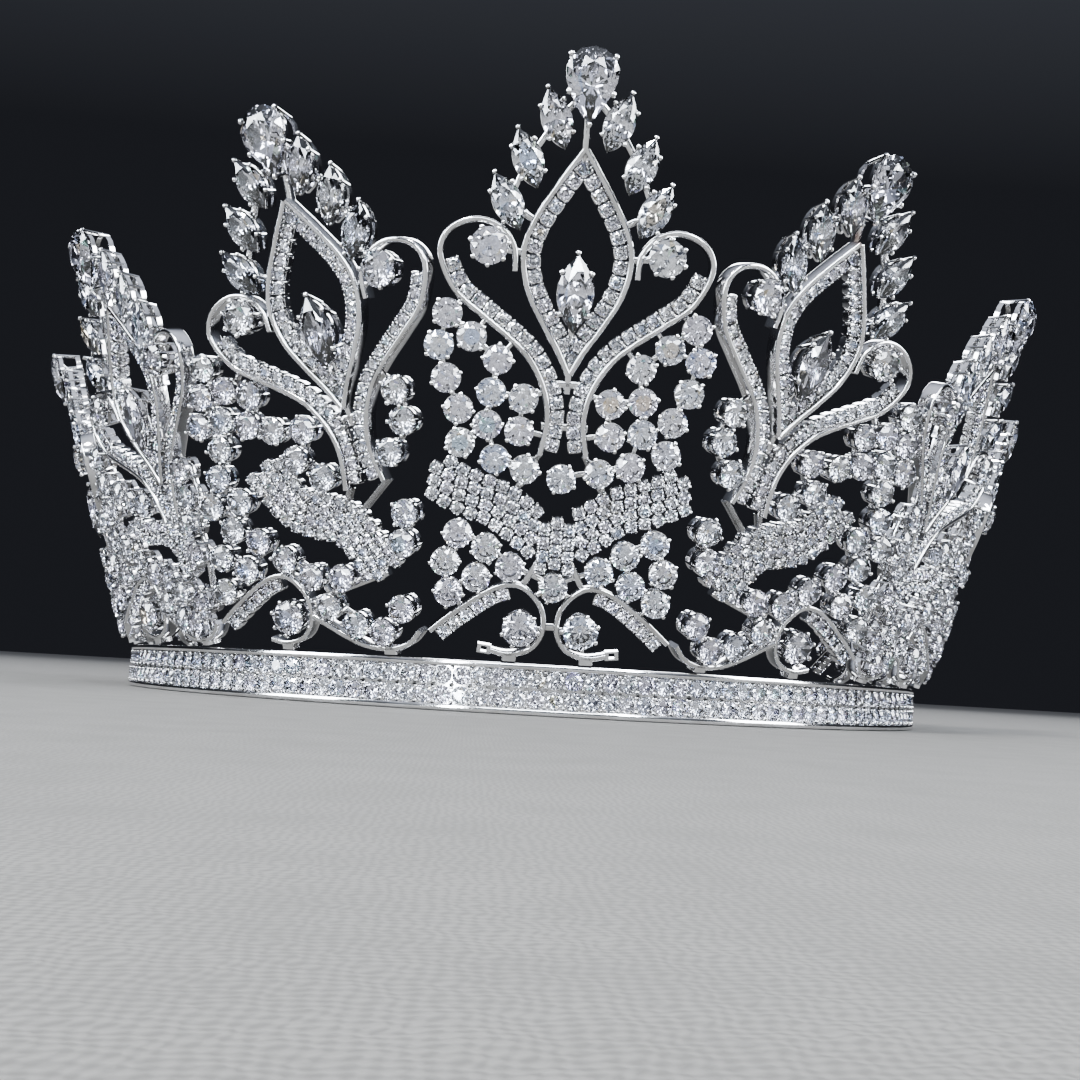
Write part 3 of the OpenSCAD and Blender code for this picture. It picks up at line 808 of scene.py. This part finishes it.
def straight_bar(places, section):
    """A bar through the given places along the hoop; the section is (up, outward)."""
    return skin([np.column_stack([np.full(len(section), x), section]) for x in places])


def seat_cell(length, height, d):
    """One cell of the stone bed: a square with a drilled seat."""
    ray = rays(16)
    edge = ray / np.maximum(np.abs(ray[:, :1]) / (length / 2), np.abs(ray[:, 1:]) / (height / 2))
    front, back = -BED_INSET - 0.25, BED_INSET - HOOP_DEPTH
    return skin([raised(edge, back), raised(edge, front), raised(ray * d * 0.46, front),
                 raised(ray * 0.1, front - 1)])


def stone_rows(metal, stones, length):
    """Two rows of stones in their cells, with two beads between one stone and the next."""
    row_h = (HOOP_H - 2 * HOOP_RAIL) / 2 + 0.1
    count = round(2 * length / HOOP_PITCH)
    pitch = 2 * length / count
    cell, gem = seat_cell(pitch + 0.02, row_h, HOOP_STONE_D), round_brilliant(HOOP_STONE_D)
    bead = post((0, 0, -0.9), (0, 0, -0.2), 0.22, 0.27, 6)
    girdle_drop = PAVILION_SHARE * HOOP_STONE_D
    for row in (-1, 1):
        z = HOOP_H / 2 + row * row_h / 2
        for i in range(count):
            x = -length + (i + 0.5) * pitch
            metal.copy(cell, (x, z))
            stones.copy(gem, (x, z), -0.42 - girdle_drop, chance.uniform(0, 45), wobble(FIELD_LEAN))
            for level in (-0.36, 0.36):
                metal.copy(bead, (x + pitch / 2, z + level * row_h))


def hoop_shapes():
    """Both rails, the stone rows and the end walls of the bed."""
    metal, stones = Shapes(), Shapes()
    length = math.radians(ROW_END) * HOOP_R
    for low in (0, HOOP_H - HOOP_RAIL):
        section = rounded(HOOP_DEPTH, low, low + HOOP_RAIL, BAR_EDGE)[:, ::-1]
        section = section + np.array([0, -HOOP_DEPTH / 2])
        metal.add(straight_bar(np.linspace(-length, length, 190), section))
    stone_rows(metal, stones, length)
    wall = rounded(HOOP_H - HOOP_RAIL, -HOOP_DEPTH + BED_INSET, -BED_INSET, 0.2) + np.array([HOOP_H / 2, 0])
    for s in (-1, 1):
        metal.add(straight_bar([s * (length - 0.5), s * length], wall))
    return metal, stones


def wire(s):
    """The two end wires of one side: the lower one level, the upper one falling to it."""
    spin = np.linspace(0, 2 * math.pi, 12, endpoint=False)
    apart = WIRE_D * 1.1
    drop = math.atan((HOOP_H - WIRE_D - apart) / (SEAT_R * math.sin(math.radians(CLIP_ANGLE - ROW_END))))
    end = math.radians(ROW_END)
    hinge = Matrix.Rotation(-drop, 3, Vector((math.sin(end), -math.cos(end), 0)))
    out = []
    for upper in (False, True):
        loops = []
        for a in np.radians(np.linspace(ROW_END - 1, CLIP_ANGLE, 24)):
            r = SEAT_R + WIRE_D / 2 * np.cos(spin)
            level = WIRE_D / 2 * np.sin(spin) + (0 if upper else WIRE_D / 2)
            loop = np.stack([r * math.sin(a), -r * math.cos(a), level], 1)
            if upper:
                loop = loop @ np.array(hinge).T + np.array([0, 0, HOOP_H - WIRE_D / 2])
            loops.append(loop * np.array([s, 1, 1]))
        out.append(skin(loops))
    return out


def clip(s):
    """A flat clip with a round end and a pin hole, its edges eased."""
    n, tiny = 48, 1e-6
    ray = rays(n)
    half, back = CLIP_H / 2, CLIP_L * 0.75
    to_edge, to_back = half / np.maximum(np.abs(ray[:, 1:]), tiny), back / np.maximum(-ray[:, :1], tiny)
    square = ray * np.minimum(to_edge, to_back)
    rim = np.where(ray[:, :1] > 0, ray * half, square)
    hole, ease, t = ray * CLIP_HOLE / 2, 0.18, CLIP_T / 2
    flat = [(hole, -t), (rim * 0.9, -t), (rim, ease - t), (rim, t - ease), (rim * 0.9, t), (hole, t)]
    a = math.radians(CLIP_ANGLE)
    loops = []
    for loop, depth in flat:
        x, y = loop[:, 0] + CLIP_L / 2, np.full(n, -SEAT_R + depth)
        world = np.stack([x * math.cos(a) - y * math.sin(a), x * math.sin(a) + y * math.cos(a),
                          loop[:, 1] + half], 1)
        loops.append(world * np.array([s, 1, 1]))
    return skin(loops, ring=True)


# Materials

def node_tree(material):
    material.use_nodes = True
    tree = material.node_tree
    return tree, tree.nodes["Principled BSDF"]


def new_node(tree, kind, **values):
    """A node with the given values, for its inputs or else for its own settings."""
    node = tree.nodes.new(kind)
    for name, value in values.items():
        if name in node.inputs:
            node.inputs[name].default_value = value
        else:
            setattr(node, name, value)
    return node


def noise(tree, scale, detail):
    where = new_node(tree, "ShaderNodeTexCoord")
    node = new_node(tree, "ShaderNodeTexNoise", Scale=scale, Detail=detail)
    tree.links.new(where.outputs["Object"], node.inputs["Vector"])
    return node.outputs["Fac"]


def ramp(tree, factor, stops):
    node = new_node(tree, "ShaderNodeValToRGB")
    for i, (at, colour) in enumerate(stops):
        element = node.color_ramp.elements[i] if i < 2 else node.color_ramp.elements.new(at)
        element.position, element.color = at, (*colour, 1)
    tree.links.new(factor, node.inputs["Fac"])
    return node.outputs["Color"]


def spread(tree, value, from_low, from_high, low, high):
    """Maps a value's range to another."""
    node = new_node(tree, "ShaderNodeMapRange")
    node.inputs["From Min"].default_value, node.inputs["From Max"].default_value = from_low, from_high
    node.inputs["To Min"].default_value, node.inputs["To Max"].default_value = low, high
    tree.links.new(value, node.inputs["Value"])
    return node.outputs["Result"]


def relief(tree, shader, height, strength):
    """A bump a tenth of a millimetre deep."""
    bump = new_node(tree, "ShaderNodeBump", Strength=strength, Distance=0.0001)
    tree.links.new(height, bump.inputs["Height"])
    tree.links.new(bump.outputs["Normal"], shader.inputs["Normal"])


def rhodium(stains):
    """Polished plating: faint clouding, polishing waves, and small brown stains at old solder."""
    material = bpy.data.materials.new("rhodium_plate")
    tree, shader = node_tree(material)
    colour = ramp(tree, noise(tree, 260, 4), [(0.30, (0.64, 0.63, 0.62)), (0.62, (0.84, 0.84, 0.85))])
    place = new_node(tree, "ShaderNodeNewGeometry")
    for point in stains:
        far = new_node(tree, "ShaderNodeVectorMath", operation="DISTANCE")
        far.inputs[1].default_value = point
        tree.links.new(place.outputs["Position"], far.inputs[0])
        near = spread(tree, far.outputs["Value"], 0.0006, 0.0019, 0.9, 0.0)
        mix = new_node(tree, "ShaderNodeMix", data_type="RGBA")
        tree.links.new(near, mix.inputs["Factor"])
        tree.links.new(colour, mix.inputs[MIX_A])
        mix.inputs[MIX_B].default_value = (0.16, 0.065, 0.02, 1)
        colour = mix.outputs[MIX_RESULT]
    tree.links.new(colour, shader.inputs["Base Color"])
    tree.links.new(spread(tree, noise(tree, 900, 3), 0.0, 1.0, 0.05, 0.17), shader.inputs["Roughness"])
    relief(tree, shader, noise(tree, 1400, 2), 0.10)
    shader.inputs["Metallic"].default_value = 1
    return material


def zirconia():
    """Clear stones: a faint tint that differs by stone, and painted dispersion fire, a colour painted on a
    few facets.
    """
    material = bpy.data.materials.new("cubic_zirconia")
    tree, shader = node_tree(material)
    place = new_node(tree, "ShaderNodeNewGeometry")
    tint = ramp(tree, place.outputs["Random Per Island"],
                [(0.0, (0.84, 0.88, 1.0)), (0.5, (0.94, 0.955, 1.0)), (1.0, (0.90, 0.88, 1.0))])
    snap = new_node(tree, "ShaderNodeVectorMath", operation="SNAP")
    snap.inputs[1].default_value = (0.02, 0.02, 0.02)
    tree.links.new(place.outputs["True Normal"], snap.inputs[0])
    facet = new_node(tree, "ShaderNodeTexWhiteNoise")
    tree.links.new(snap.outputs["Vector"], facet.inputs["Vector"])
    # Painted dispersion fire: a few facets, picked at random by their direction, get a painted blue,
    # orange, green or violet glint in the base colour
    painted_fire = ramp(tree, facet.outputs["Value"],
                 [(0.0, (0.45, 0.62, 1.0)), (0.05, (1.0, 1.0, 1.0)), (0.965, (1.0, 1.0, 1.0)),
                  (0.975, (1.0, 0.72, 0.35)), (0.988, (0.45, 1.0, 0.72)), (1.0, (0.55, 0.45, 1.0))])
    mix = new_node(tree, "ShaderNodeMix", data_type="RGBA", blend_type="MULTIPLY")
    mix.inputs["Factor"].default_value = 1
    tree.links.new(tint, mix.inputs[MIX_A])
    tree.links.new(painted_fire, mix.inputs[MIX_B])
    tree.links.new(mix.outputs[MIX_RESULT], shader.inputs["Base Color"])
    shader.inputs["Roughness"].default_value = 0.0
    shader.inputs["IOR"].default_value = 2.16
    shader.inputs["Transmission Weight"].default_value = 1
    return material


def linen():
    """The pale floor: a grey cloth with a fine weave."""
    material = bpy.data.materials.new("pale_floor")
    tree, shader = node_tree(material)
    where = new_node(tree, "ShaderNodeTexCoord")
    threads = new_node(tree, "ShaderNodeMath", operation="ADD")
    for i, direction in enumerate(("X", "Y")):
        wave = new_node(tree, "ShaderNodeTexWave", bands_direction=direction,
                        Scale=900, Distortion=9, Detail=4)
        tree.links.new(where.outputs["Object"], wave.inputs["Vector"])
        tree.links.new(wave.outputs["Fac"], threads.inputs[i])
    uneven = new_node(tree, "ShaderNodeMath", operation="MULTIPLY")
    tree.links.new(threads.outputs[0], uneven.inputs[0])
    tree.links.new(noise(tree, 160, 5), uneven.inputs[1])
    colour = ramp(tree, uneven.outputs[0], [(0.1, (0.125, 0.123, 0.118)), (0.9, (0.175, 0.172, 0.165))])
    tree.links.new(colour, shader.inputs["Base Color"])
    relief(tree, shader, threads.outputs[0], 0.12)
    shader.inputs["Roughness"].default_value = 0.9
    return material


# Pieces

def piece(name, points, faces, material, slot, nodes=(), mirrored=False, smooth=False):
    mesh = bpy.data.meshes.new(name)
    mesh.from_pydata((points / MM_PER_M).tolist(), [], [f[::-1] for f in faces] if mirrored else faces)
    mesh.materials.append(material)
    if smooth:
        mesh.shade_smooth()
        mesh.set_sharp_from_angle(angle=math.radians(38))
    obj = bpy.data.objects.new(name, mesh)
    bpy.context.scene.collection.objects.link(obj)
    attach(obj, "root")
    if nodes:
        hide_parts(*nodes)


def panel_pieces(name, place, metal_look, stone_look):
    """One panel: its metal, and each kind of its stones."""
    metal, stones = panel_shapes(abs(place))
    flipped = place < 0
    points, faces = metal.joined()
    piece(f"frame_{name}", on_panel(points, place), faces, metal_look, "plated_metal",
          [f"panel_{name}"], flipped, smooth=True)
    for kind, shapes in stones.items():
        if not shapes.count:
            continue
        node = f"{kind}_{name}"
        points, faces = shapes.joined()
        piece(f"cut_{node}", on_panel(points, place), faces, stone_look, "zirconia",
              [node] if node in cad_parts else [], flipped)


def hoop_pieces(metal_look, stone_look):
    """The hoop with its end wires and clips, and its stones."""
    metal, stones = hoop_shapes()
    points, faces = metal.joined()
    whole = Shapes()
    whole.add((bent(points), faces))
    for s in (-1, 1):
        for shape in wire(s):
            whole.add(shape)
        whole.add(clip(s))
    piece("hoop_metal", *whole.joined(), metal_look, "plated_metal", ["hoop"], smooth=True)
    points, faces = stones.joined()
    piece("hoop_stones", bent(points), faces, stone_look, "zirconia")


def stain_at(place, u, below):
    """The world place of a stain, in metres."""
    point = np.array([[u, CENTRE_RISE - DROPS[place] - below, STAIN_W]])
    return tuple(on_panel(point, place)[0] / MM_PER_M)


def build_crown():
    metal_look = rhodium([stain_at(*row) for row in STAINS])
    stone_look = zirconia()
    for name, place in PANELS.items():
        panel_pieces(name, place, metal_look, stone_look)
    hoop_pieces(metal_look, stone_look)


# Floor, light and camera

def floor():
    mesh = bpy.data.meshes.new("floor")
    half = 3.0
    mesh.from_pydata([(x * half, y * half, 0) for x, y in CORNERS], [], [[0, 1, 2, 3]])
    mesh.materials.append(linen())
    obj = bpy.data.objects.new("floor", mesh)
    obj.location.z = -0.0001
    bpy.context.scene.collection.objects.link(obj)


def softbox(name, at, size, power, colour):
    light = bpy.data.lights.new(name, "AREA")
    light.shape = "RECTANGLE"
    light.size, light.size_y = size
    light.energy = power
    light.color = colour
    obj = bpy.data.objects.new(name, light)
    obj.location = at
    obj.rotation_euler = (Vector(LIT_POINT) - Vector(at)).to_track_quat("-Z", "Y").to_euler()
    obj.visible_camera = False
    bpy.context.scene.collection.objects.link(obj)


def studio():
    world = bpy.data.worlds.new("studio")
    bpy.context.scene.world = world
    world.use_nodes = True
    tree = world.node_tree
    where = new_node(tree, "ShaderNodeTexCoord")
    toward = new_node(tree, "ShaderNodeVectorMath", operation="DOT_PRODUCT")
    toward.inputs[1].default_value = (0, -0.35, 0.937)
    tree.links.new(where.outputs["Generated"], toward.inputs[0])
    sky = ramp(tree, toward.outputs["Value"],
               [(0.05, (0.018, 0.019, 0.023)), (0.45, (0.085, 0.092, 0.108)), (0.9, (0.66, 0.70, 0.80))])
    tree.links.new(sky, tree.nodes["Background"].inputs["Color"])
    softbox("key", (-0.22, -0.50, 0.62), (0.14, 0.12), 6.0, WARM)
    softbox("over", (0.05, -1.0, 0.42), (0.6, 0.16), 4.0, COOL)
    softbox("strip_left", (-0.35, -0.95, 0.22), (0.08, 0.5), 5.0, COOL)
    softbox("strip_right", (0.35, -0.75, 0.45), (0.08, 0.5), 5.0, COOL)
    softbox("left", (-0.75, -0.40, 0.30), (0.35, 0.5), 7.5, COOL)
    softbox("right", (0.75, -0.35, 0.30), (0.35, 0.5), 7.5, PALE)
    softbox("rim", (0.15, 0.6, 0.55), (0.5, 0.2), 3.0, PALE)


def camera():
    """The photo's side angle, distance, focal length and roll, from just above the floor."""
    yaw, roll = math.radians(-2.5), math.radians(3.3)
    height, reach = 5.0, 252.5
    aside, up = 1.8, 33.2
    flat = math.sqrt(reach ** 2 - height ** 2)
    eye = Vector((flat * math.sin(yaw), -flat * math.cos(yaw), height)) / MM_PER_M
    target = Vector((aside * math.cos(yaw), aside * math.sin(yaw), up)) / MM_PER_M
    data = bpy.data.cameras.new("photo")
    data.sensor_width = SENSOR_W
    data.lens = PHOTO_FOCAL / PHOTO_W * SENSOR_W
    data.clip_start, data.clip_end = 0.004, 10
    obj = bpy.data.objects.new("photo", data)
    turn_to = (target - eye).to_track_quat("-Z", "Y").to_matrix()
    obj.matrix_world = Matrix.Translation(eye) @ (turn_to @ Matrix.Rotation(roll, 3, "Z")).to_4x4()
    bpy.context.scene.collection.objects.link(obj)
    bpy.context.scene.camera = obj


build_crown()
floor()
studio()
camera()
bpy.context.scene.view_settings.view_transform = "AgX"
bpy.context.scene.view_settings.look = "AgX - Medium High Contrast"
bpy.context.scene.view_settings.exposure = 0.15
